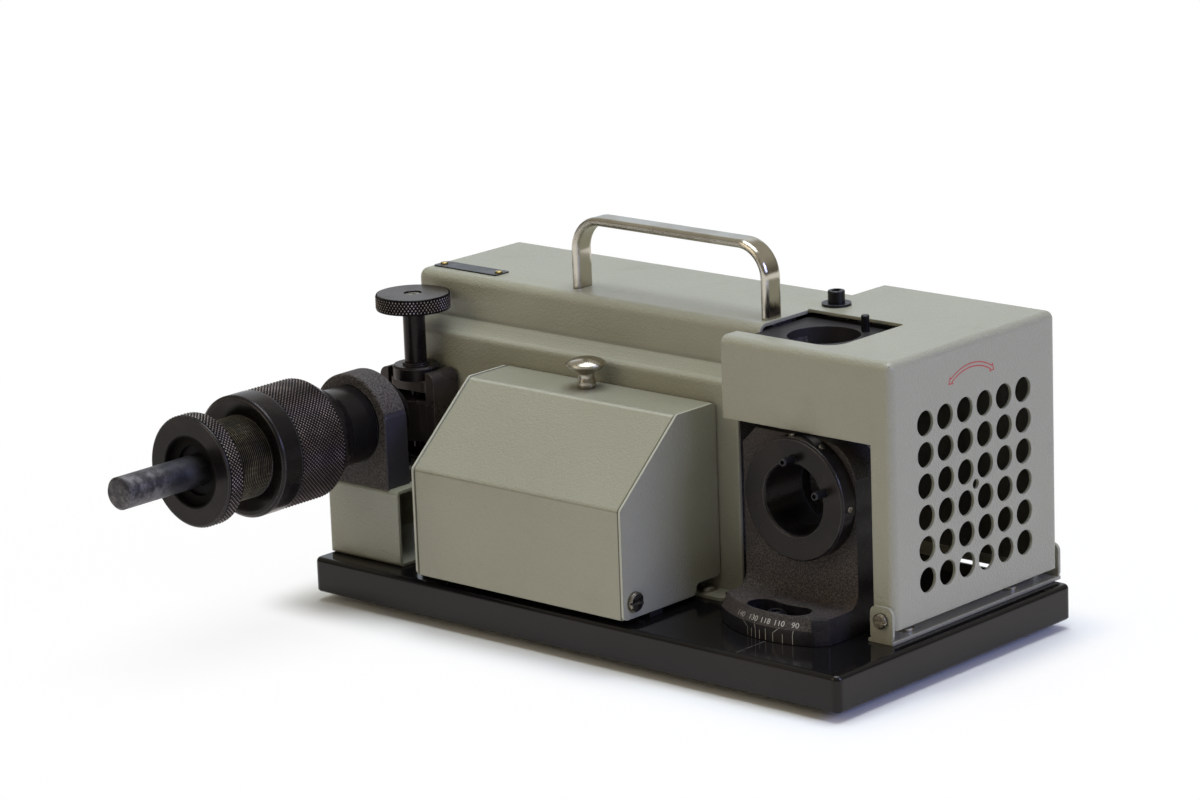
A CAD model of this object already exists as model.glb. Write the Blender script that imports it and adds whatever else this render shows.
import math

import bmesh
import bpy
from mathutils import Matrix, Vector


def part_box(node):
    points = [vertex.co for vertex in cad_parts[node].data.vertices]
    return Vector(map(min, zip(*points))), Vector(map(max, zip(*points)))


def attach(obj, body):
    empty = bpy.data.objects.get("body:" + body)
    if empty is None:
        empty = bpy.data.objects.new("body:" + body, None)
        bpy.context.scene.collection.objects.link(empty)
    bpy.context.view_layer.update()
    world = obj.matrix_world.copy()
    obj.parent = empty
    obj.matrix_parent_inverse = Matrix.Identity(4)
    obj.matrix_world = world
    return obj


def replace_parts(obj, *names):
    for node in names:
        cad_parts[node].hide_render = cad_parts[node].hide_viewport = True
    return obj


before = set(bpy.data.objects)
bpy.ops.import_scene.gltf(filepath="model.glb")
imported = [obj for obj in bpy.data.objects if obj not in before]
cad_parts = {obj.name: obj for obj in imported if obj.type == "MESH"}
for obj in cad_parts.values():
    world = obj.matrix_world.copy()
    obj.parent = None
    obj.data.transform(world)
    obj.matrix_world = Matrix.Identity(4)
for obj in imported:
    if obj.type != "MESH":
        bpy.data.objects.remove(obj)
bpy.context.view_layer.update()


# Base plate: a thick cast-iron plate with rounded corners, stove-enamelled in gloss black all over.
# Everything else is screwed down on it. A faint pale index line is filled into its top.
class Wire:
    """A value inside a finish. Sums written with it become Math nodes."""

    def __init__(self, tree, socket):
        self.tree = tree
        self.socket = socket

    def math(self, operation, first, second=0.0):
        node = self.tree.nodes.new("ShaderNodeMath")
        node.operation = operation
        for place, value in zip(node.inputs, (first, second)):
            if isinstance(value, Wire):
                self.tree.links.new(value.socket, place)
            else:
                place.default_value = value
        return Wire(self.tree, node.outputs[0])

    def __add__(self, other):
        return self.math("ADD", self, other)

    def __radd__(self, other):
        return self.math("ADD", other, self)

    def __sub__(self, other):
        return self.math("SUBTRACT", self, other)

    def __rsub__(self, other):
        return self.math("SUBTRACT", other, self)

    def __mul__(self, other):
        return self.math("MULTIPLY", self, other)

    def __rmul__(self, other):
        return self.math("MULTIPLY", other, self)

    def __truediv__(self, other):
        return self.math("DIVIDE", self, other)

    def __rtruediv__(self, other):
        return self.math("DIVIDE", other, self)

    def __pow__(self, other):
        return self.math("POWER", self, other)

    def __rpow__(self, other):
        return self.math("POWER", other, self)

    def __gt__(self, other):
        return self.math("GREATER_THAN", self, other)

    def __lt__(self, other):
        return self.math("LESS_THAN", self, other)

    def __abs__(self):
        return self.math("ABSOLUTE", self)


class Wiring:
    """The nodes of one finish, or of the room, made and linked one by one."""

    def __init__(self, tree):
        self.tree = tree

    def node(self, kind, settings=None, inputs=None, output=0):
        node = self.tree.nodes.new(kind)
        for key, value in (settings or {}).items():
            setattr(node, key, value)
        for key, value in (inputs or {}).items():
            if isinstance(value, Wire):
                self.tree.links.new(value.socket, node.inputs[key])
            else:
                node.inputs[key].default_value = value
        return Wire(self.tree, node.outputs[output])


class Finish(Wiring):
    """A finish laid out on the object's own coordinates, with one skin shader at its end."""

    def __init__(self, name):
        self.material = bpy.data.materials.new(name)
        self.material.use_nodes = True
        super().__init__(self.material.node_tree)
        self.skin = self.tree.nodes["Principled BSDF"]
        self.place = self.node("ShaderNodeTexCoord", output="Object")

    def along(self, axes="XYZ"):
        """Distance along each named axis, in metres."""
        return [self.node("ShaderNodeSeparateXYZ", None, {0: self.place}, axis) for axis in axes]

    def noise(self, scale, detail=2.0, stretch=(1.0, 1.0, 1.0), rough=0.5):
        spot = self.node("ShaderNodeMapping", None, {"Vector": self.place, "Scale": stretch})
        inputs = {"Vector": spot, "Scale": scale, "Detail": detail, "Roughness": rough}
        return self.node("ShaderNodeTexNoise", None, inputs, "Fac")

    def cells(self, scale, feature="F1"):
        """Distance from the middle of the nearest grain."""
        inputs = {"Vector": self.place, "Scale": scale}
        return self.node("ShaderNodeTexVoronoi", {"feature": feature}, inputs)

    def ease(self, value, low, high):
        """Rises softly from 0 at low to 1 at high."""
        inputs = {"Value": value, "From Min": low, "From Max": high}
        return self.node("ShaderNodeMapRange", {"interpolation_type": "SMOOTHSTEP"}, inputs)

    def blend(self, share, first, second):
        return self.node("ShaderNodeMix", {"data_type": "RGBA"}, {0: share, 6: first, 7: second}, 2)

    def rounded(self, radius):
        """The way the surface faces, as if each corner were broken to a small radius."""
        return self.node("ShaderNodeBevel", {"samples": 4}, {"Radius": radius})

    def edges(self, rounded):
        """1 along the corners that hands and tools rub, 0 on the flats."""
        facing = self.node("ShaderNodeNewGeometry", output="Normal")
        inputs = {0: rounded, 1: facing}
        same = self.node("ShaderNodeVectorMath", {"operation": "DOT_PRODUCT"}, inputs, "Value")
        return self.ease(1.0 - same, 0.02, 0.18)

    def bump(self, height, strength, depth, rounded=None):
        inputs = {"Height": height, "Strength": strength, "Distance": depth}
        if rounded:
            inputs["Normal"] = rounded
        return self.node("ShaderNodeBump", None, inputs)

    def feed(self, sockets):
        for key, value in sockets.items():
            if isinstance(value, Wire):
                self.tree.links.new(value.socket, self.skin.inputs[key])
            else:
                self.skin.inputs[key].default_value = value
        return self


def shade(red, green, blue):
    """A colour as the eye reads it, from 0 to 255 a channel."""
    channels = []
    for level in (red, green, blue):
        part = level / 255
        channels.append(((part + 0.055) / 1.055) ** 2.4 if part > 0.04045 else part / 12.92)
    return (*channels, 1.0)


def dress(finish, *names):
    """Gives CAD pieces their finish."""
    for name in names:
        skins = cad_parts[name].data.materials
        skins.clear()
        skins.append(finish.material)


def piece(name, mesh, finish, body):
    """Makes a shaped mesh a piece of the machine that rides on one of its bodies."""
    data = bpy.data.meshes.new(name)
    mesh.to_mesh(data)
    mesh.free()
    data.materials.append(finish.material)
    thing = bpy.data.objects.new(name, data)
    bpy.context.scene.collection.objects.link(thing)
    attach(thing, body)
    return thing


def thicken(drawing, height):
    """Gives a flat drawing a little body, upward along Z."""
    rise = bmesh.ops.extrude_face_region(drawing, geom=drawing.faces[:])["geom"]
    tops = [part for part in rise if isinstance(part, bmesh.types.BMVert)]
    bmesh.ops.translate(drawing, vec=(0.0, 0.0, height), verts=tops)
    bmesh.ops.recalc_face_normals(drawing, faces=drawing.faces)


enamel = Finish("black_stove_enamel")
film = enamel.ease(enamel.noise(9.0, 5.0), 0.42, 0.75)
dust = enamel.ease(enamel.cells(430.0), 0.16, 0.08) * enamel.ease(enamel.noise(38.0, 3.0), 0.48, 0.7)
enamel.feed({
    "Base Color": enamel.blend(dust * 0.3 + film * 0.04, shade(13, 12, 13), shade(92, 87, 83)),
    "Roughness": 0.07 + film * 0.09 + dust * 0.35,
    "Normal": enamel.bump(enamel.noise(240.0, 2.0), 0.05, 0.0004, enamel.rounded(0.0012)),
    "Specular IOR Level": 0.3,
    "Specular Tint": (1.0, 0.9, 0.84, 1.0),
})
dress(enamel, "base_plate")

fresh_from = 0.13
thumbed_from = 0.106
line_paint = Finish("white_line_filling")
(x,) = line_paint.along("X")
handled = line_paint.ease(x, fresh_from, thumbed_from)
worn = line_paint.ease(line_paint.noise(700.0, 3.0), 0.62, 0.72)
white_fill = line_paint.blend(worn, shade(178, 174, 165), shade(104, 100, 94))
line_paint.feed({
    "Base Color": line_paint.blend(handled * 0.6, white_fill, shade(84, 80, 76)),
    "Roughness": 0.5 + worn * 0.2,
})
faint_paint = Finish("faint_line_filling")
gaps = faint_paint.ease(faint_paint.noise(480.0, 3.0), 0.45, 0.65)
faint_paint.feed({
    "Base Color": faint_paint.blend(gaps, shade(124, 120, 113), shade(70, 67, 63)),
    "Roughness": 0.5 + gaps * 0.2,
})
index_length = 0.026
index_width = 0.00026
index_height = 0.00006
index_middle = Vector((0.1328, -0.0961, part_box("base_plate")[1].z))
index = bmesh.new()
bmesh.ops.create_grid(index, x_segments=1, y_segments=12, size=0.5)
bmesh.ops.scale(index, vec=(index_width, index_length, 1.0), verts=index.verts)
thicken(index, index_height)
bmesh.ops.translate(index, vec=index_middle, verts=index.verts)
piece("index_line", index, faint_paint, "machine")


# Feet and deck screws: four moulded rubber feet, screwed up into the plate from below,
# and zinc-plated pan-head screws that hold the sheet metal, lugs and castings to it.
rubber = Finish("moulded_rubber")
chalk = rubber.ease(rubber.noise(60.0, 5.0), 0.45, 0.75)
rubber.feed({
    "Base Color": rubber.blend(chalk, shade(26, 25, 25), shade(58, 56, 54)),
    "Roughness": 0.72 + chalk * 0.18,
    "Normal": rubber.bump(rubber.noise(1500.0, 3.0), 0.25, 0.0002),
    "Specular IOR Level": 0.3,
})
dress(rubber, "rubber_feet")

zinc = Finish("zinc_plated_steel")
spangle = zinc.noise(420.0, 3.0)
tarnish = zinc.ease(zinc.noise(130.0, 4.0), 0.5, 0.72)
zinc.feed({
    "Base Color": zinc.blend(tarnish * 0.7, shade(176, 172, 160), shade(104, 96, 82)),
    "Metallic": 1.0,
    "Roughness": 0.24 + spangle * 0.16 + tarnish * 0.2,
    "Normal": zinc.bump(zinc.noise(2600.0, 2.0), 0.12, 0.0001),
})
dress(zinc, "base_screws", "top_port_screws", "handle_screws", "wheel_washer")

tarnished = Finish("tarnished_steel_screw")
stain = tarnished.ease(tarnished.noise(330.0, 4.0), 0.4, 0.66)
broken = tarnished.rounded(0.0006)
screw_tone = tarnished.blend(stain * 0.7, shade(146, 139, 124), shade(70, 61, 49))
tarnished.feed({
    "Base Color": tarnished.blend(tarnished.edges(broken) * 0.6, screw_tone, shade(196, 190, 174)),
    "Metallic": 1.0,
    "Roughness": 0.26 + stain * 0.2,
    "Normal": tarnished.bump(tarnished.noise(2200.0, 2.0), 0.12, 0.0001, broken),
})
dress(tarnished, "ear_screws", "pivot_screws", "sleeve_screws", "thumbwheel_screw")


# Motor: a cast cradle bolted to the plate carries a laminated stator between two die-cast bells.
# The ground rotor shaft runs in two ball bearings and drives a moulded fan at its tail.
def casting(name, rust_share, machined=None, smooth_tone=shade(34, 33, 36)):
    """Blackened cast iron with a sandy skin. A mask, where given, marks faces milled smooth."""
    iron = Finish(name)
    lumps = iron.noise(150.0, 3.0)
    sand = iron.noise(950.0, 3.0, rough=0.65)
    grit = iron.noise(2300.0, 2.0)
    broken = iron.rounded(0.0012)
    speck = iron.ease(sand * 0.6 + grit * 0.4, 0.4, 0.62)
    rust = iron.ease(iron.noise(26.0, 5.0), 0.46, 0.72)
    tone = iron.blend(speck, shade(22, 20, 19), shade(88, 81, 77))
    tone = iron.blend(rust * rust_share, tone, shade(80, 58, 44))
    tone = iron.blend(iron.edges(broken) * 0.3, tone, shade(100, 96, 95))
    rough = 0.58 + grit * 0.24
    height = lumps * 0.6 + sand * 0.6 + grit * 0.2
    if machined:
        smooth = machined(iron)
        mill_marks = iron.ease(iron.noise(300.0, 4.0), 0.4, 0.8)
        satin = iron.blend(mill_marks * 0.35, smooth_tone, shade(56, 54, 58))
        tone = iron.blend(smooth, tone, satin)
        rough = rough * (1.0 - smooth) + 0.32 * smooth
        height = height * (1.0 - smooth)
    iron.feed({
        "Base Color": tone,
        "Roughness": rough,
        "Normal": iron.bump(height, 0.8, 0.0007, broken),
        "Specular IOR Level": 0.35,
        "Specular Tint": (1.0, 0.92, 0.88, 1.0),
    })
    return iron


cast_iron = casting("blackened_cast_iron", 0.1)
dress(cast_iron, "motor_cradle", "end_frame")

alloy = Finish("die_cast_alloy")
mottle = alloy.ease(alloy.noise(90.0, 4.0), 0.4, 0.7)
alloy.feed({
    "Base Color": alloy.blend(mottle, shade(150, 150, 148), shade(108, 107, 104)),
    "Metallic": 0.85,
    "Roughness": 0.42 + mottle * 0.2,
    "Normal": alloy.bump(alloy.noise(900.0, 3.0), 0.2, 0.0002),
})
dress(alloy, "motor_front_bell", "motor_rear_bell")

laminations = Finish("laminated_core")
sheet_edges = laminations.node("ShaderNodeTexWave", {"bands_direction": "X"}, {
    "Vector": laminations.place, "Scale": 320.0, "Distortion": 0.3, "Detail": 1.0,
}, "Fac")
varnish = laminations.ease(laminations.noise(45.0, 4.0), 0.42, 0.68)
laminations.feed({
    "Base Color": laminations.blend(varnish * 0.6, shade(88, 86, 84), shade(70, 44, 26)),
    "Metallic": 0.6,
    "Roughness": 0.35 + sheet_edges * 0.2,
    "Normal": laminations.bump(sheet_edges, 0.3, 0.0002),
})
dress(laminations, "motor_stator")

ground = Finish("ground_steel")
grain = ground.noise(240.0, 3.0, stretch=(1.0, 9.0, 1.0))
oil = ground.ease(ground.noise(34.0, 4.0), 0.5, 0.72)
ground.feed({
    "Base Color": ground.blend(oil * 0.6, shade(166, 165, 162), shade(112, 106, 96)),
    "Metallic": 1.0,
    "Roughness": 0.2 + grain * 0.16 + oil * 0.12,
    "Normal": ground.bump(grain, 0.08, 0.0001),
})
dress(ground, "rotor_shaft", "bearings", "spare_collets")

fan_resin = Finish("moulded_fan_resin")
flow = fan_resin.ease(fan_resin.noise(55.0, 4.0), 0.4, 0.7)
fan_resin.feed({
    "Base Color": fan_resin.blend(flow, shade(36, 36, 38), shade(52, 51, 50)),
    "Roughness": 0.45 + flow * 0.15,
    "Normal": fan_resin.bump(fan_resin.noise(1100.0, 2.0), 0.12, 0.0001),
})
dress(fan_resin, "cooling_fan")


# Grinding wheel: a coarse bonded cup wheel of dark grains, held on the shaft's nose
# by a washer and one blackened socket-head bolt.
grit_wheel = Finish("bonded_abrasive")
grains = grit_wheel.cells(1500.0)
pores = grit_wheel.ease(grains, 0.15, 0.6)
bond = grit_wheel.noise(420.0, 5.0)
grit_wheel.feed({
    "Base Color": grit_wheel.blend(pores, shade(150, 146, 138), shade(74, 71, 68)),
    "Roughness": 0.78 + bond * 0.15,
    "Normal": grit_wheel.bump(grains + bond * 0.5, 0.9, 0.0005),
})
dress(grit_wheel, "grinding_wheel")

dark_screw = Finish("blackened_cap_screw")
sheen = dark_screw.noise(350.0, 3.0)
cap_edge = dark_screw.rounded(0.0005)
bare_edge = dark_screw.edges(cap_edge)
dark_screw.feed({
    "Base Color": dark_screw.blend(bare_edge * 0.6, shade(24, 23, 25), shade(124, 122, 124)),
    "Metallic": 0.5,
    "Roughness": 0.28 + sheen * 0.18,
    "Normal": dark_screw.bump(dark_screw.noise(1800.0, 2.0), 0.1, 0.0001, cap_edge),
})
dress(dark_screw, "wheel_bolt", "hood_washer", "top_port_pin", "port_pins", "guide_screw", "clamp_screw")


# Motor housing: one folded steel shell with a joggled front, a vented back and flanged feet,
# sprayed in grey-green paint that dries to a fine pebbled skin, as on all the sheet metal.
def pebbled_paint(name, bend, marks=None):
    """The paint of the sheet metal, over corners broken to the bend.

    Marks give the dark and the pale lines of a piece.
    """
    paint = Finish(name)
    pebble = paint.cells(760.0, "SMOOTH_F1")
    ripple = paint.noise(1500.0, 3.0)
    patch = paint.noise(7.0, 4.0)
    speckle = paint.noise(2300.0, 2.0)
    soil = paint.ease(paint.noise(24.0, 6.0, rough=0.65), 0.56, 0.78)
    folded = paint.rounded(bend)
    scuff = paint.edges(folded)
    coat = paint.blend(paint.ease(patch, 0.3, 0.7), shade(142, 139, 121), shade(148, 145, 127))
    coat = paint.blend(soil * 0.16, coat, shade(108, 103, 88))
    coat = paint.blend(paint.ease(ripple, 0.4, 0.7) * 0.16, coat, shade(118, 116, 100))
    coat = paint.blend(paint.ease(speckle, 0.35, 0.65) * 0.3, coat, shade(160, 157, 140))
    coat = paint.blend(scuff * 0.45, coat, shade(184, 183, 172))
    if marks:
        dark, pale = marks(paint)
        coat = paint.blend(pale, coat, shade(190, 188, 174))
        coat = paint.blend(dark, coat, shade(34, 32, 26))
    paint.feed({
        "Base Color": coat,
        "Roughness": 0.28 + ripple * 0.13 + soil * 0.1,
        "Normal": paint.bump(pebble * -1.0 + ripple * 0.3, 0.5, 0.0005, folded),
        "Specular IOR Level": 0.5,
    })
    return paint


ledge_face = -0.006
ledge_fold = 0.1605
ledge_edge = 0.1536
ledge_depth = 0.001
dirt_foot = 0.0001
dirt_core = 0.0004
dirt_top = 0.0036
rub_reach = 0.0022
rub_core = 0.0012
bend_reach = 0.0014
bend_core = 0.0006


def ledge_lines(paint):
    """Dirt in the inner fold above the ledge, and paint rubbed pale along its two bends."""
    y, z = paint.along("YZ")
    front = paint.ease(y, ledge_face + ledge_depth, ledge_face)
    dirt = paint.ease(z, ledge_fold - dirt_foot, ledge_fold + dirt_core)
    dirt = dirt * paint.ease(z, ledge_fold + dirt_top, ledge_fold + dirt_core)
    inner = paint.ease(z, ledge_fold - rub_reach, ledge_fold - rub_core) * (z < ledge_fold)
    outer = paint.ease(abs(z - ledge_edge), bend_reach, bend_core)
    return dirt * front * 0.42, (inner * 0.12 + outer * 0.22) * front


dress(pebbled_paint("pebbled_housing_paint", 0.0006, ledge_lines), "motor_housing")


# Carrying handle and the knob of the collet box: bent flat bar and a turned button,
# both polished and nickel plated. The handle is screwed on from inside the housing, and the
# button stands on a stud through the top of the box.
nickel = Finish("polished_nickel")
haze = nickel.ease(nickel.noise(46.0, 5.0), 0.45, 0.72)
hairlines = nickel.noise(520.0, 2.0, stretch=(0.06, 1.0, 1.0))
nickel.feed({
    "Base Color": nickel.blend(haze * 0.6, shade(194, 188, 175), shade(152, 143, 126)),
    "Metallic": 1.0,
    "Roughness": 0.09 + haze * 0.1 + hairlines * 0.06,
    "Normal": nickel.bump(hairlines, 0.03, 0.0001, nickel.rounded(0.0024)),
})
dress(nickel, "handle")


def lathe(shape, steps):
    """Turns a drawn half outline once round the Z axis."""
    bmesh.ops.spin(
        shape, geom=shape.verts[:] + shape.edges[:], cent=(0, 0, 0), axis=(0, 0, 1),
        angle=2 * math.pi, steps=steps, use_merge=True,
    )
    bmesh.ops.remove_doubles(shape, verts=shape.verts, dist=1e-6)


def draw(shape, points):
    """Draws an open half outline from (distance from the axis, height) points."""
    corners = [shape.verts.new((reach, 0.0, level)) for reach, level in points]
    for first, second in zip(corners, corners[1:]):
        shape.edges.new((first, second))


knob_low, knob_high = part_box("box_knob")
knob_seat = (knob_low + knob_high) / 2
knob_seat.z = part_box("box_cover")[1].z
knob_steps = 64
stud_end = knob_low.z - knob_seat.z
stud_radius = 0.0025
knob_outline = (
    (0.0, stud_end), (stud_radius, stud_end), (stud_radius, 0.0), (0.0053, 0.0), (0.0057, 0.0008),
    (0.0059, 0.0026), (0.0057, 0.0044), (0.0051, 0.006), (0.0049, 0.008), (0.0053, 0.0098),
    (0.0072, 0.0106), (0.0094, 0.0119), (0.0114, 0.0136), (0.0125, 0.0149), (0.0127, 0.0155),
    (0.0123, 0.0161), (0.0106, 0.0171), (0.0081, 0.0181), (0.0048, 0.0189), (0.0, 0.0193),
)
knob = bmesh.new()
draw(knob, knob_outline)
lathe(knob, knob_steps)
bmesh.ops.recalc_face_normals(knob, faces=knob.faces)
bmesh.ops.translate(knob, vec=knob_seat, verts=knob.verts)
for face in knob.faces:
    face.smooth = True
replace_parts(piece("turned_knob", knob, nickel, "collet_box"), "box_knob")


# Data plate: a thin blank strip of dark anodised sheet on the housing top,
# held by two domed brass rivets.
plate_skin = Finish("dark_anodised_sheet")
brushed = plate_skin.noise(900.0, 3.0, stretch=(0.05, 1.0, 1.0))
rubbed = plate_skin.ease(plate_skin.noise(70.0, 4.0), 0.5, 0.74)
plate_skin.feed({
    "Base Color": plate_skin.blend(rubbed * 0.6, shade(44, 43, 46), shade(110, 108, 106)),
    "Metallic": 0.7,
    "Roughness": 0.26 + brushed * 0.16,
    "Normal": plate_skin.bump(brushed, 0.05, 0.0001),
})
dress(plate_skin, "name_plate")

brass = Finish("brass_rivet")
brown = brass.ease(brass.noise(600.0, 4.0), 0.45, 0.7)
brass.feed({
    "Base Color": brass.blend(brown * 0.6, shade(184, 160, 98), shade(104, 84, 48)),
    "Metallic": 1.0,
    "Roughness": 0.25 + brown * 0.2,
})
dress(brass, "plate_rivets")


# Power switch and cord gland: black moulded plastic, snapped or screwed into the housing wall.
# The rocker carries the two plain marks for on and off, printed in white.
plastic = Finish("black_moulded_plastic")
spark = plastic.noise(2100.0, 2.0)
fade = plastic.ease(plastic.noise(40.0, 4.0), 0.45, 0.7)
plastic.feed({
    "Base Color": plastic.blend(fade, shade(25, 25, 27), shade(38, 37, 37)),
    "Roughness": 0.38 + spark * 0.2,
    "Normal": plastic.bump(spark, 0.22, 0.00015),
})
dress(plastic, "switch_body", "switch_rocker", "cord_inlet")

rocker_axis = Vector((-0.207, 0.038, 0.128))
rocker_tilt = math.radians(8.0)
flat_fall = 0.00225
flat_run = 0.0118
flat_slope = math.atan2(flat_fall, flat_run)
flat_middle = 0.0059
flat_depth = 0.0039
mark_height = 0.00008
bar_length = 0.0042
bar_width = 0.0008
ring_inner = 0.0015
ring_outer = 0.0022
ring_steps = 32


def rocker_place(side):
    """From a flat drawing to the upper (1) or lower (-1) flat of the rocker."""
    swing = Matrix.Translation(rocker_axis) @ Matrix.Rotation(-rocker_tilt, 4, "Y")
    seat = Matrix.Translation((-flat_depth, 0.0, side * flat_middle))
    slope = Matrix.Rotation(-side * flat_slope, 4, "Y")
    return swing @ seat @ slope @ Matrix.Rotation(math.radians(-90.0), 4, "Y")


on_mark = bmesh.new()
bmesh.ops.create_grid(on_mark, x_segments=6, y_segments=1, size=0.5)
bmesh.ops.scale(on_mark, vec=(bar_length, bar_width, 1.0), verts=on_mark.verts)
off_mark = bmesh.new()
draw(off_mark, ((ring_inner, 0.0), (ring_outer, 0.0)))
lathe(off_mark, ring_steps)
for name, mark, side in (("switch_on_mark", on_mark, 1), ("switch_off_mark", off_mark, -1)):
    thicken(mark, mark_height)
    bmesh.ops.transform(mark, matrix=rocker_place(side), verts=mark.verts)
    piece(name, mark, line_paint, "rocker")


# Setting station: a cast arch on a folded channel holds the drill holder while the drill is set.
# Its right cheek is milled flat, and a blackened bush is pressed into it.
cheek_face = -0.1556
cheek_blend = 0.0006


def milled_cheek(iron):
    """The flat right cheek of the arch, towards the collet box."""
    (x,) = iron.along("X")
    return iron.ease(x, cheek_face - cheek_blend, cheek_face)


dress(casting("arch_cast_iron", 0.12, milled_cheek, shade(50, 48, 56)), "setting_bracket")
dress(pebbled_paint("pebbled_stand_paint", 0.0008), "stand_channel")


# Length gauge: a guide with a screwed cap, in which a slide is lifted by a screw.
# All of it, up to the knurled thumbwheel, is machined steel, chemically blackened and oiled.
def blackened(name, edge, oily=None, fresh=shade(24, 22, 22), bloomed=shade(44, 39, 37)):
    """Machined steel, chemically blackened, its corners broken to an edge. Oily masks wet bores."""
    oxide = Finish(name)
    bloom = oxide.ease(oxide.noise(30.0, 5.0), 0.42, 0.72)
    turning = oxide.noise(1300.0, 2.0)
    turned_edge = oxide.rounded(edge)
    rub = oxide.edges(turned_edge)
    skin = oxide.blend(bloom * 0.6, fresh, bloomed)
    skin = oxide.blend(rub * 0.55, skin, shade(126, 122, 124))
    rough = 0.19 + bloom * 0.16 + turning * 0.07
    if oily:
        wet = oily(oxide)
        skin = oxide.blend(wet, skin, shade(5, 5, 5))
        rough = rough * (1.0 - wet) + wet * 0.75
    oxide.feed({
        "Base Color": skin,
        "Metallic": 0.4,
        "Roughness": rough,
        "Normal": oxide.bump(turning, 0.08, 0.0001, turned_edge),
        "Specular IOR Level": 0.28,
        "Specular Tint": (1.0, 0.9, 0.84, 1.0),
    })
    return oxide


gauge_black = blackened("blackened_gauge_steel", 0.0007)
dress(gauge_black, "thumbwheel", "screw_collar", "gauge_screw", "setting_bush")
guide_black = blackened("blackened_guide_steel", 0.0007, None, shade(58, 52, 50), shade(86, 78, 74))
dress(guide_black, "gauge_slide", "gauge_guide", "gauge_cap")

holder_x = -0.186
wheel_y = -0.037
holder_z = 0.1085


def from_axis(side, rise):
    """Distance from an axis, by the two offsets across it."""
    return (side * side + rise * rise) ** 0.5


def knurl_skin(name, across, valley, peak, rubbed):
    """Black in the grooves and rubbed bare on the points, by distance from the piece's own axis."""
    skin = Finish(name)
    x, y, z = skin.along()
    reach = from_axis(x - holder_x, y - wheel_y if across == "Z" else z - holder_z)
    rise = peak - valley
    point = skin.ease(reach, valley + rise * 0.46, valley + rise * 0.58)
    wear = skin.ease(skin.noise(90.0, 4.0), 0.3, 0.7) * 0.5 + 0.5
    skin.feed({
        "Base Color": skin.blend(point * wear, shade(10, 9, 9), rubbed),
        "Metallic": 0.45,
        "Roughness": 0.5 - point * 0.1,
        "Specular IOR Level": 0.12,
    })
    return skin


def knurl(low, high, valley, peak, around, rows, place):
    """A sleeve of pointed diamonds about its own Z axis, set on a rim by a placing matrix."""
    sleeve = bmesh.new()
    draw(sleeve, ((valley, low), (valley, high)))
    bmesh.ops.subdivide_edges(sleeve, edges=sleeve.edges[:], cuts=rows - 1)
    lathe(sleeve, around)
    step = (high - low) / rows
    raised = []
    for corner in sleeve.verts:
        row = round((corner.co.z - low) / step)
        column = round(math.atan2(corner.co.y, corner.co.x) / (2 * math.pi / around))
        if 0 < row < rows and (row + column) % 2:
            raised.append(corner)
    bmesh.ops.scale(sleeve, vec=(peak / valley, peak / valley, 1.0), verts=raised)
    bmesh.ops.triangulate(sleeve, faces=sleeve.faces[:], quad_method="SHORT_EDGE")
    bmesh.ops.recalc_face_normals(sleeve, faces=sleeve.faces)
    bmesh.ops.transform(sleeve, matrix=place, verts=sleeve.verts)
    return sleeve


wheel_low, wheel_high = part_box("thumbwheel")
wheel_edge = 0.0002
wheel_clear = 0.00002
wheel_point = 0.0006
wheel_around = 128
wheel_rows = 6
wheel_valley = (wheel_high.x - wheel_low.x) / 2 + wheel_clear
wheel_peak = wheel_valley + wheel_point
wheel_place = Matrix.Translation((holder_x, wheel_y, 0.0))
rim = knurl(
    wheel_low.z + wheel_edge, wheel_high.z - wheel_edge, wheel_valley, wheel_peak,
    wheel_around, wheel_rows, wheel_place,
)
wheel_skin = knurl_skin("knurled_thumbwheel", "Z", wheel_valley, wheel_peak, shade(150, 138, 131))
piece("thumbwheel_knurl", rim, wheel_skin, "gauge_wheel")


# Drill holder: a turned and blackened body with a knurled grip, and a knurled ring nut on a fine thread
# that closes a slit collet on the drill.
bore_radius = 0.0228
bore_blend = 0.0004
bore_bottom = -0.15


def holder_bore(oxide):
    """Inside the nut, where oil and shadow swallow all light."""
    x, y, z = oxide.along()
    reach = from_axis(x - holder_x, z - holder_z)
    return oxide.ease(reach, bore_radius, bore_radius - bore_blend) * (y < bore_bottom)


dress(blackened("blackened_holder_steel", 0.0016, holder_bore), "holder_body", "clamp_nut")
oily = Finish("oily_black_collet")
residue = oily.ease(oily.noise(160.0, 4.0), 0.4, 0.7)
oily.feed({
    "Base Color": oily.blend(residue, shade(9, 8, 8), shade(24, 21, 19)),
    "Metallic": 0.3,
    "Roughness": 0.5 + residue * 0.2,
    "Specular IOR Level": 0.12,
})
dress(oily, "holder_collet")

holder_turn = Matrix.Translation((holder_x, 0.0, holder_z)) @ Matrix.Rotation(math.radians(-90.0), 4, "X")
grip_low = -0.1759
grip_high = -0.1391
grip_valley = 0.03742
grip_peak = 0.038
grip_around = 190
grip_rows = 28
grip = knurl(grip_low, grip_high, grip_valley, grip_peak, grip_around, grip_rows, holder_turn)
grip_skin = knurl_skin("knurled_grip", "Y", grip_valley, grip_peak, shade(118, 102, 94))
piece("grip_knurl", grip, grip_skin, "holder")
nut_low, nut_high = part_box("clamp_nut")
nut_edge = 0.001
nut_valley = 0.03422
nut_peak = 0.0348
nut_around = 168
nut_rows = 8
ring = knurl(
    nut_low.y + nut_edge, nut_high.y - nut_edge, nut_valley, nut_peak, nut_around, nut_rows, holder_turn,
)
nut_skin = knurl_skin("knurled_nut", "Y", nut_valley, nut_peak, shade(146, 132, 124))
piece("nut_knurl", ring, nut_skin, "nut")

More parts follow.
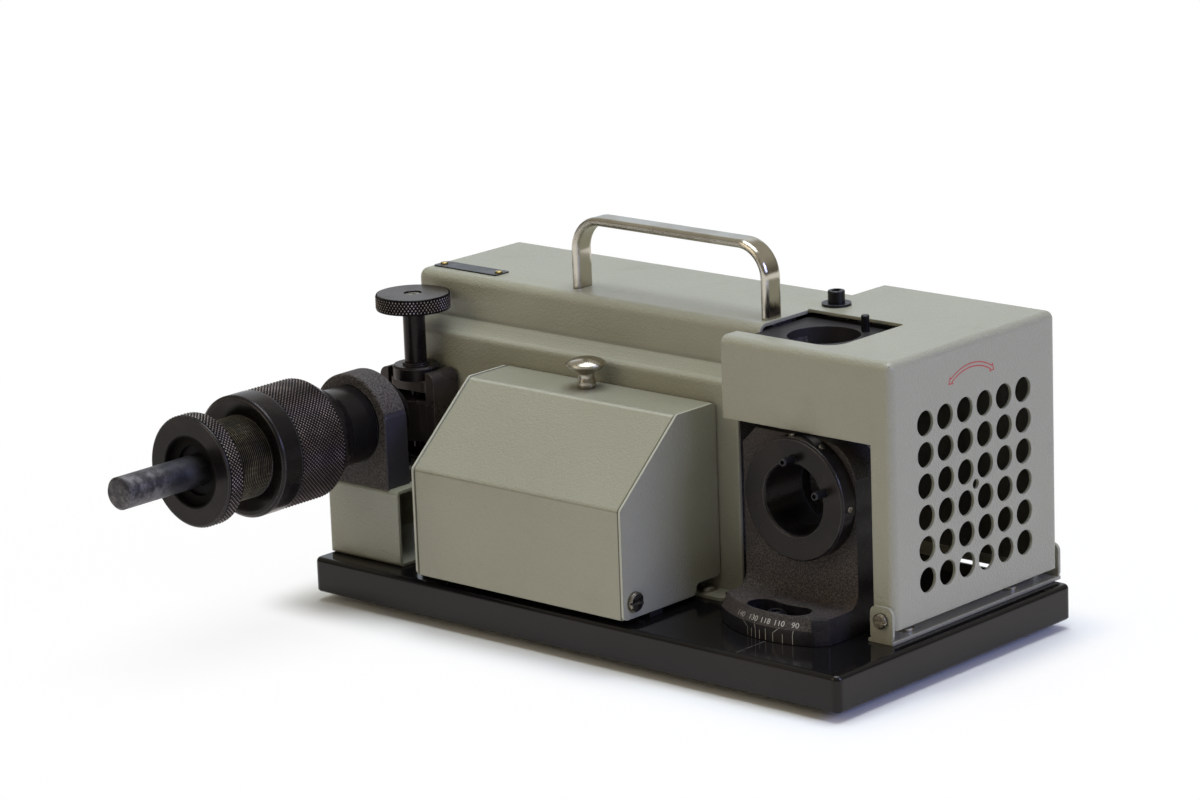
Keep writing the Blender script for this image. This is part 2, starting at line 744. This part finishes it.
thread_pitch = 0.0015
thread_turns = 20
thread_steps = 48
thread_root = 0.02502
thread_crest = 0.0256
thread_flank = thread_pitch * 0.42
thread_clear = 0.0004
thread_start = nut_high.y + thread_clear
thread = bmesh.new()
draw(thread, (
    (thread_root, thread_start), (thread_crest, thread_start + thread_flank),
    (thread_crest, thread_start + thread_pitch - thread_flank), (thread_root, thread_start + thread_pitch),
))
bmesh.ops.spin(
    thread, geom=thread.verts[:] + thread.edges[:], cent=(0, 0, 0), axis=(0, 0, 1),
    dvec=(0.0, 0.0, thread_pitch / thread_steps), angle=2 * math.pi * thread_turns,
    steps=thread_steps * thread_turns,
)
bmesh.ops.remove_doubles(thread, verts=thread.verts, dist=2e-6)
bmesh.ops.recalc_face_normals(thread, faces=thread.faces)
bmesh.ops.transform(thread, matrix=holder_turn, verts=thread.verts)
thread_skin = Finish("rubbed_thread")
x, z = thread_skin.along("XZ")
crest_from = thread_root + 0.0004
crest = thread_skin.ease(from_axis(x - holder_x, z - holder_z), crest_from, thread_crest)
grime = thread_skin.ease(thread_skin.noise(120.0, 4.0), 0.35, 0.65)
thread_skin.feed({
    "Base Color": thread_skin.blend(crest * (1.0 - grime * 0.6), shade(4, 4, 4), shade(134, 125, 106)),
    "Metallic": 0.85,
    "Roughness": 0.26 + grime * 0.15,
})
piece("holder_thread", thread, thread_skin, "holder")


# Drill: a plain shank drill of tool steel, its shank mottled by scale and handling
# and darker where the collet has gripped it.
collet_mark_start = -0.262
collet_mark_full = -0.252
collet_mark_ragged = 0.008
drill_steel = Finish("scaled_tool_steel")
(y,) = drill_steel.along("Y")
blotch = drill_steel.ease(drill_steel.noise(70.0, 6.0, rough=0.65), 0.4, 0.62)
fleck = drill_steel.ease(drill_steel.noise(420.0, 4.0), 0.5, 0.68)
gripped = drill_steel.ease(y + blotch * collet_mark_ragged, collet_mark_start, collet_mark_full)
shank = drill_steel.blend(blotch, shade(54, 51, 53), shade(112, 108, 109))
shank = drill_steel.blend(fleck * 0.5, shank, shade(34, 31, 32))
shank = drill_steel.blend(gripped * 0.8, shank, shade(44, 44, 50))
drill_steel.feed({
    "Base Color": shank,
    "Metallic": 0.6,
    "Roughness": 0.42 + blotch * 0.18 - gripped * 0.08,
    "Normal": drill_steel.bump(blotch * 0.5 + fleck, 0.15, 0.0002),
})
dress(drill_steel, "drill_bit")


# Collet box: a folded cover with two welded cheeks tips forward on slotted pivot screws.
# Behind it a drilled rack holds the spare collets.
black_sheet = Finish("satin_black_sheet")
fine = black_sheet.noise(1200.0, 3.0)
sheared = black_sheet.rounded(0.0007)
chipped = black_sheet.edges(sheared)
shine = black_sheet.ease(black_sheet.noise(30.0, 4.0), 0.45, 0.7)
black_sheet.feed({
    "Base Color": black_sheet.blend(chipped * 0.45, shade(36, 34, 35), shade(100, 97, 96)),
    "Roughness": 0.4 + fine * 0.14 + shine * 0.1,
    "Normal": black_sheet.bump(fine, 0.16, 0.0002, sheared),
    "Specular IOR Level": 0.25,
    "Specular Tint": (1.0, 0.9, 0.84, 1.0),
})
dress(black_sheet, "hinge_lugs", "collet_rack", "top_port")

cover_low, cover_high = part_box("box_cover")
front_crease = 0.0921
crease_back = -0.105
crease_width = 0.0007
crease_core = 0.0002
seam_width = 0.0018
fold_width = 0.0007
fold_core = 0.0003
dust_low = 0.0006
dust_full = 0.0002


def box_seams(paint):
    """The dark joint beside each cheek, the crease across the front and the dust on the top.

    The sheared edges of the cheeks and the fold at the top are rubbed pale.
    """
    x, y, z = paint.along()
    facing = paint.node("ShaderNodeNewGeometry", output="Normal")
    aside = abs(paint.node("ShaderNodeSeparateXYZ", None, {0: facing}, 0))
    from_right = cover_high.x - x
    from_left = x - cover_low.x
    cover = (from_right > 0.0) * (from_left > 0.0)
    left_seam = paint.ease(from_left, seam_width * 0.6, seam_width * 0.4)
    left_seam = left_seam * ((z < front_crease) * 0.7 + 0.3)
    seams = paint.ease(from_right, seam_width, seam_width * 0.8) + left_seam
    dust = paint.ease(z, cover_high.z - dust_low, cover_high.z - dust_full) * (1.0 - seams)
    fold = paint.ease(abs(z - (cover_high.z - fold_width)), fold_width, fold_core)
    crease = paint.ease(abs(z - front_crease), crease_width, crease_core) * (y < crease_back)
    edges = (1.0 - cover) * (aside < 0.6) * 0.5
    return cover * (seams * 0.8 + crease * 0.25 + dust * 0.14), edges + cover * fold * 0.4


dress(pebbled_paint("pebbled_box_paint", 0.0003, box_seams), "box_cover", "box_sides")


# Wheel hood: a folded and painted cover with six rows of air holes, held by two ear screws and a cap bolt.
# A hem closes its back wall down to the plate, and a plain red double arrow is printed on its end wall.
hood_low, hood_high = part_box("hood")
hood_sheet = 0.002


def hood_dust(paint):
    """Dark grinding dust on every face inside the hood."""
    x, y, z = paint.along()
    shallow = hood_sheet * 0.92
    deep = hood_sheet * 0.98
    inside = paint.ease(x, hood_low.x + shallow, hood_low.x + deep)
    inside = inside * paint.ease(x, hood_high.x - shallow, hood_high.x - deep)
    inside = inside * paint.ease(y, hood_low.y + shallow, hood_low.y + deep)
    inside = inside * paint.ease(y, hood_high.y - shallow, hood_high.y - deep)
    inside = inside * paint.ease(z, hood_high.z - shallow, hood_high.z - deep) * (z > hood_low.z)
    return inside * 0.75, 0.0


hood_paint = pebbled_paint("pebbled_hood_paint", 0.0008, hood_dust)
dress(hood_paint, "hood", "hood_strip")

hem_clear = 0.0005
hem_bottom = 0.0235
hem_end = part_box("hood_strip")[0].x - hem_clear
tab_clear = 0.0002
tab_bottom = 0.0205
tab_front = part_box("base_plate")[1].y + tab_clear
tab_end = 0.113
lip_front = 0.084
lip_back = 0.0872
lip_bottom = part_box("base_plate")[1].z + hem_clear
lip_end = hood_low.x + hood_sheet
lip_top = hood_high.z - hood_sheet
hem = bmesh.new()
strips = (
    ((hood_low.x, hood_high.y - hood_sheet, hem_bottom), (hem_end, hood_high.y, hood_low.z)),
    ((hood_low.x, tab_front, tab_bottom), (tab_end, hood_high.y, hem_bottom)),
    ((hood_low.x, lip_front, lip_bottom), (lip_end, lip_back, lip_top)),
)
for near, far in strips:
    strip = bmesh.ops.create_cube(hem, size=1.0)["verts"]
    bmesh.ops.scale(hem, vec=Vector(far) - Vector(near), verts=strip)
    bmesh.ops.translate(hem, vec=(Vector(near) + Vector(far)) / 2, verts=strip)
piece("hood_back_hem", hem, hood_paint, "machine")

bolt_low, bolt_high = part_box("hood_bolt")
bolt_middle = (bolt_low + bolt_high) / 2
head_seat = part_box("hood_washer")[1].z
head_proud = 0.0006
head_top = bolt_high.z + head_proud
head_steps = 48
head_radius = (bolt_high.x - bolt_low.x) / 2
head_edge = 0.0007
shank_radius = 0.003
socket_sides = 6
socket_radius = 0.0032
socket_depth = 0.0034
bolt = bmesh.new()
draw(bolt, (
    (shank_radius, bolt_low.z), (shank_radius, head_seat),
    (head_radius, head_seat), (head_radius, head_top),
))
lathe(bolt, head_steps)
rims = [edge for edge in bolt.edges if edge.is_boundary]
crown = [edge for edge in rims if edge.verts[0].co.z > head_seat]
bmesh.ops.edgeloop_fill(bolt, edges=[edge for edge in rims if edge not in crown])
bmesh.ops.create_circle(bolt, segments=socket_sides, radius=socket_radius)
sides = [edge for edge in bolt.edges if edge.is_wire]
bmesh.ops.subdivide_edges(bolt, edges=sides, cuts=head_steps // socket_sides - 1)
mouth = [edge for edge in bolt.edges if edge.is_wire]
mouth_corners = [corner for corner in bolt.verts if corner.is_wire]
bmesh.ops.translate(bolt, vec=(0.0, 0.0, head_top), verts=mouth_corners)
bmesh.ops.bridge_loops(bolt, edges=crown + mouth)
well = bmesh.ops.extrude_edge_only(bolt, edges=mouth)["geom"]
floor_corners = [part for part in well if isinstance(part, bmesh.types.BMVert)]
bmesh.ops.translate(bolt, vec=(0.0, 0.0, -socket_depth), verts=floor_corners)
bmesh.ops.edgeloop_fill(bolt, edges=[edge for edge in bolt.edges if edge.is_boundary])
bmesh.ops.bevel(bolt, geom=crown, offset=head_edge, affect="EDGES", segments=3, profile=0.5, material=-1)
bmesh.ops.recalc_face_normals(bolt, faces=bolt.faces)
bmesh.ops.translate(bolt, vec=(bolt_middle.x, bolt_middle.y, 0.0), verts=bolt.verts)
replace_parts(piece("hood_cap_screw", bolt, dark_screw, "machine"), "hood_bolt")

arrow_red = Finish("red_screen_print")
thin = arrow_red.ease(arrow_red.noise(900.0, 3.0), 0.55, 0.72)
arrow_red.feed({
    "Base Color": arrow_red.blend(thin * 0.4, shade(168, 34, 40), shade(172, 108, 100)),
    "Roughness": 0.45 + thin * 0.1,
})
arrow_centre = Vector((hood_high.x, 0.0303, 0.1364))
arrow_outer = 0.038
arrow_inner = 0.0351
arrow_line = 0.0007
arrow_half = math.radians(31.0)
arrow_barb = 0.0016
arrow_point = math.radians(6.0)
arrow_thickness = 0.00005
arrow_steps = 36
arrow_lean = Matrix.Rotation(math.pi / 2 - arrow_half, 3, "Z")
arrow_middle = (arrow_inner + arrow_outer) / 2
arrow = bmesh.new()
start = [arrow.verts.new((radius, 0.0, 0.0)) for radius in (arrow_inner, arrow_outer)]
band = arrow.edges.new(start)
bmesh.ops.rotate(arrow, cent=(0, 0, 0), matrix=arrow_lean, verts=start)
swept = bmesh.ops.spin(
    arrow, geom=start + [band], cent=(0, 0, 0), axis=(0, 0, 1), angle=2 * arrow_half, steps=arrow_steps,
)["geom_last"]
end = [part for part in swept if isinstance(part, bmesh.types.BMVert)]
for corners, side in ((start, -1), (end, 1)):
    near, far = sorted(corners, key=lambda corner: corner.co.length)
    turn = math.pi / 2 + side * (arrow_half + arrow_point)
    tip = arrow.verts.new((arrow_middle * math.cos(turn), arrow_middle * math.sin(turn), 0.0))
    low_barb = arrow.verts.new(near.co * (1.0 - arrow_barb / arrow_inner))
    high_barb = arrow.verts.new(far.co * (1.0 + arrow_barb / arrow_outer))
    arrow.faces.new((near, far, high_barb, tip, low_barb))
bmesh.ops.recalc_face_normals(arrow, faces=arrow.faces)
unprinted = arrow.faces[:]
bmesh.ops.inset_region(
    arrow, faces=unprinted, thickness=arrow_line, use_boundary=True, use_even_offset=True,
)
bmesh.ops.delete(arrow, geom=unprinted, context="FACES")
thicken(arrow, arrow_thickness)
wall = Matrix(((0, 0, 1, 0), (1, 0, 0, 0), (0, 1, 0, 0), (0, 0, 0, 1)))
bmesh.ops.transform(arrow, matrix=Matrix.Translation(arrow_centre) @ wall, verts=arrow.verts)
piece("turning_arrow", arrow, arrow_red, "machine")


# Front port: a cast bracket swivels on the plate about a pin and is locked through its curved slot.
# Its milled rim carries the scale of drill point angles, engraved and filled in white.
pivot = Vector((0.1325, -0.006, 0.0))
rim_radius = 0.0762
bevel_foot = 0.0309
bevel_top = 0.0382
bevel_depth = 0.0046
bevel_fall = bevel_depth / (bevel_top - bevel_foot)
bevel_line = 0.0953
bevel_blend = 0.0003
foot_blend = 0.00005
band_inner = 0.0757
band_right = 0.1632
band_blend = 0.0008
slot_inner = 0.0537
slot_outer = 0.0707
slot_half = 0.027
slot_end_blend = 0.001
turned_blend = 0.0002
slot_rim = 0.0002
slot_shade = 0.0006
cheek_side = 0.0375
corner_line = 0.10089
cut_start = 0.0003
cut_full = 0.0001


def milled_rim(iron):
    """The scale band and its bevel, the clamp slot, and the right cheek with its cut corner."""
    x, y, z = iron.along()
    out_x = x - pivot.x
    out_y = y - pivot.y
    reach = from_axis(out_x, out_y)
    low = iron.ease(z, bevel_foot + foot_blend, bevel_foot - foot_blend)
    left = iron.ease(x, band_right + band_blend, band_right)
    bevel = iron.ease(reach + z * bevel_fall, bevel_line - bevel_blend, bevel_line)
    band = iron.ease(reach, band_inner - turned_blend, band_inner) * low * left
    band = band + bevel * (1.0 - low) * 0.4
    slot = iron.ease(reach, slot_inner - turned_blend, slot_inner)
    slot = slot * iron.ease(reach, slot_outer + turned_blend, slot_outer)
    slot = slot * iron.ease(z, bevel_top - slot_rim, bevel_top - slot_shade)
    slot = slot * iron.ease(abs(out_x), slot_half + slot_end_blend, slot_half)
    cheek = iron.ease(out_x, cheek_side - cut_start, cheek_side - cut_full)
    corner = iron.ease(out_x - out_y, corner_line - cut_start, corner_line - cut_full)
    return iron.node("ShaderNodeClamp", None, {"Value": band + slot + cheek * 0.8 + corner * 0.8})


dress(casting("bracket_cast_iron", 0.34, milled_rim, shade(21, 20, 23)), "swivel_bracket")
dress(blackened("blackened_port_steel", 0.0012), "port_sleeve", "pivot_pin")

tick_angles = (-11.0, -8.5, -6.0, -3.5, 0.0, 4.0, 9.0, 14.0)
tick_low = 0.0226
tick_high = 0.0278
tick_zero = 0.0312
tick_width = 0.00038
tick_proud = 0.00004
lead_end = bevel_foot + 0.0004
numbers = (
    ("140", -17.3, -11.0, -14.5), ("130", -8.5, -6.0, -6.6), ("118", -1.0, 0.0, 0.0),
    ("110", 6.7, 4.0, 7.3), ("90", 14.9, 14.0, 14.5),
)


def rim_reach(height):
    """How far the filled marks stand from the pivot, on the band or on the bevel above it."""
    return rim_radius + tick_proud - max(0.0, height - bevel_foot) * bevel_fall


def stroke(scale, start, end):
    """A filled line on the rim from one (angle, height) to another."""
    run = Vector((math.radians(end[0] - start[0]) * rim_radius, end[1] - start[1], 0.0))
    line = bmesh.ops.create_grid(scale, x_segments=1, y_segments=4, size=0.5)["verts"]
    bmesh.ops.scale(scale, vec=(tick_width, run.length + tick_width, 1.0), verts=line)
    lean = Matrix.Rotation(math.atan2(-run.x, run.y), 3, "Z")
    bmesh.ops.rotate(scale, cent=(0, 0, 0), matrix=lean, verts=line)
    for corner in line:
        height = (start[1] + end[1]) / 2 + corner.co.y
        turn = math.radians((start[0] + end[0]) / 2) + corner.co.x / rim_radius
        out = rim_reach(height)
        corner.co = pivot + Vector((out * math.sin(turn), -out * math.cos(turn), height))


scale = bmesh.new()
for angle in tick_angles:
    stroke(scale, (angle, tick_low), (angle, tick_high if angle else tick_zero))
for word, angle, tick, lead in numbers:
    if tick:
        stroke(scale, (tick, tick_high), (lead, lead_end))
bmesh.ops.recalc_face_normals(scale, faces=scale.faces)
piece("scale_ticks", scale, line_paint, "front_port")

digit_size = 0.0046
digit_spread = 1.12
digit_height = 0.0335
digit_relief = 0.00003
bevel_lean = math.atan2(bevel_depth, bevel_top - bevel_foot)
for word, angle, tick, lead in numbers:
    drawing = bpy.data.curves.new("digits", "FONT")
    drawing.body = word
    drawing.size = digit_size
    drawing.align_x = "CENTER"
    drawing.align_y = "CENTER"
    drawing.extrude = digit_relief
    sheet = bpy.data.objects.new("digits", drawing)
    bpy.context.scene.collection.objects.link(sheet)
    bpy.context.view_layer.update()
    flat = bpy.data.meshes.new_from_object(sheet)
    bpy.data.objects.remove(sheet)
    digits = bmesh.new()
    digits.from_mesh(flat)
    bpy.data.meshes.remove(flat)
    seat = Matrix.Translation(pivot) @ Matrix.Rotation(math.radians(angle), 4, "Z")
    seat = seat @ Matrix.Translation((0.0, -rim_reach(digit_height), digit_height))
    seat = seat @ Matrix.Rotation(math.radians(90.0) - bevel_lean, 4, "X")
    bmesh.ops.scale(digits, vec=(digit_spread, 1.0, 1.0), verts=digits.verts)
    bmesh.ops.transform(digits, matrix=seat, verts=digits.verts)
    piece("scale_number_" + word, digits, line_paint, "front_port")


# Studio: a wide paper floor that turns pure white away from the base, in a pale room with dark lower walls.
# A broad cool soft box hangs overhead, a blue one stands at the wheel end, a weak warm one in front
# and a cool one behind. All of it stays behind when the part is used.
floor_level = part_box("rubber_feet")[0].z
floor_radius = 9.0
shadow_edge = 0.003
shadow_end = 0.042
haze_edge = 0.05
haze_end = 0.6
floor_mesh = bmesh.new()
bmesh.ops.create_circle(floor_mesh, cap_ends=True, segments=64, radius=floor_radius)
bmesh.ops.translate(floor_mesh, vec=(0.0, 0.0, floor_level), verts=floor_mesh.verts)
floor_data = bpy.data.meshes.new("studio_floor")
floor_mesh.to_mesh(floor_data)
floor_mesh.free()
floor = bpy.data.objects.new("studio_floor", floor_data)
bpy.context.scene.collection.objects.link(floor)
floor_skin = Finish("studio_floor_paper")
floor_skin.feed({"Base Color": (0.84, 0.82, 0.79, 1.0), "Roughness": 0.9, "Specular IOR Level": 0.0})
rays = ("Is Camera Ray", "Is Glossy Ray", "Is Transmission Ray")
seen = [floor_skin.node("ShaderNodeLightPath", output=ray) for ray in rays]
white = floor_skin.node("ShaderNodeEmission", None, {"Color": (1.0, 1.0, 1.0, 1.0), "Strength": 1.0})
x, y = floor_skin.along("XY")
base_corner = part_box("base_plate")[1]
beside = abs(x) - base_corner.x
before = abs(y) - base_corner.y
beside = beside.math("MAXIMUM", beside, 0.0)
before = before.math("MAXIMUM", before, 0.0)
away = from_axis(beside, before)
near_share = floor_skin.ease(away, shadow_edge, shadow_end)
far_share = floor_skin.ease(away, haze_edge, haze_end)
share = (seen[0] + seen[1] + seen[2]) * (near_share * 0.86 + far_share * 0.14)
paper = Wire(floor_skin.tree, floor_skin.skin.outputs[0])
lit = floor_skin.node("ShaderNodeMixShader", None, {0: share, 1: paper, 2: white})
floor_skin.tree.links.new(lit.socket, floor_skin.tree.nodes["Material Output"].inputs["Surface"])
floor_data.materials.append(floor_skin.material)

room = bpy.data.worlds.new("pale_room")
room.use_nodes = True
walls = Wiring(room.node_tree)
gaze = walls.node("ShaderNodeTexCoord", output="Generated")
height = walls.node("ShaderNodeSeparateXYZ", None, {0: gaze}, 2)
up = walls.node("ShaderNodeMapRange", {"interpolation_type": "SMOOTHSTEP"}, {
    "Value": height, "From Min": 0.05, "From Max": 0.6,
})
tint = walls.node("ShaderNodeMix", {"data_type": "RGBA"}, {
    0: up, 6: (0.34, 0.31, 0.25, 1.0), 7: (1.0, 0.95, 0.82, 1.0),
}, 2)
room_light = room.node_tree.nodes["Background"]
room.node_tree.links.new(tint.socket, room_light.inputs["Color"])
room_light.inputs["Strength"].default_value = 0.42
bpy.context.scene.world = room


def lamp(name, place, aim, size, power, colour):
    """A square soft box hung at a place and turned to a point."""
    box = bpy.data.lights.new(name, "AREA")
    box.size = size
    box.energy = power
    box.color = colour
    holder = bpy.data.objects.new(name, box)
    bpy.context.scene.collection.objects.link(holder)
    holder.location = place
    holder.rotation_euler = (Vector(aim) - Vector(place)).to_track_quat("-Z", "Y").to_euler()


lamp("overhead_lamp", (0.0, 0.2, 2.4), (0.0, 0.0, 0.1), 1.7, 54.0, (0.82, 0.92, 1.0))
lamp("window_lamp", (2.6, 0.3, 1.2), (0.1, 0.0, 0.1), 1.0, 38.0, (0.42, 0.49, 1.0))
lamp("front_lamp", (-0.9, -2.6, 1.3), (0.0, 0.0, 0.1), 1.4, 13.0, (1.0, 0.87, 0.66))
lamp("back_lamp", (-2.1, 2.5, 1.1), (0.0, 0.0, 0.15), 2.6, 14.0, (0.74, 0.85, 1.0))

lens = bpy.data.cameras.new("photo_camera")
lens.lens = 134.718
lens.sensor_width = 36.0
lens.sensor_fit = "HORIZONTAL"
lens.clip_end = 50.0
camera = bpy.data.objects.new("photo_camera", lens)
bpy.context.scene.collection.objects.link(camera)
camera.location = (1.7382, -1.9869, 0.8125)
camera.rotation_euler = [math.radians(turn) for turn in (75.51987, 2.06143, 41.69094)]
bpy.context.scene.camera = camera
bpy.context.scene.view_settings.view_transform = "Standard"
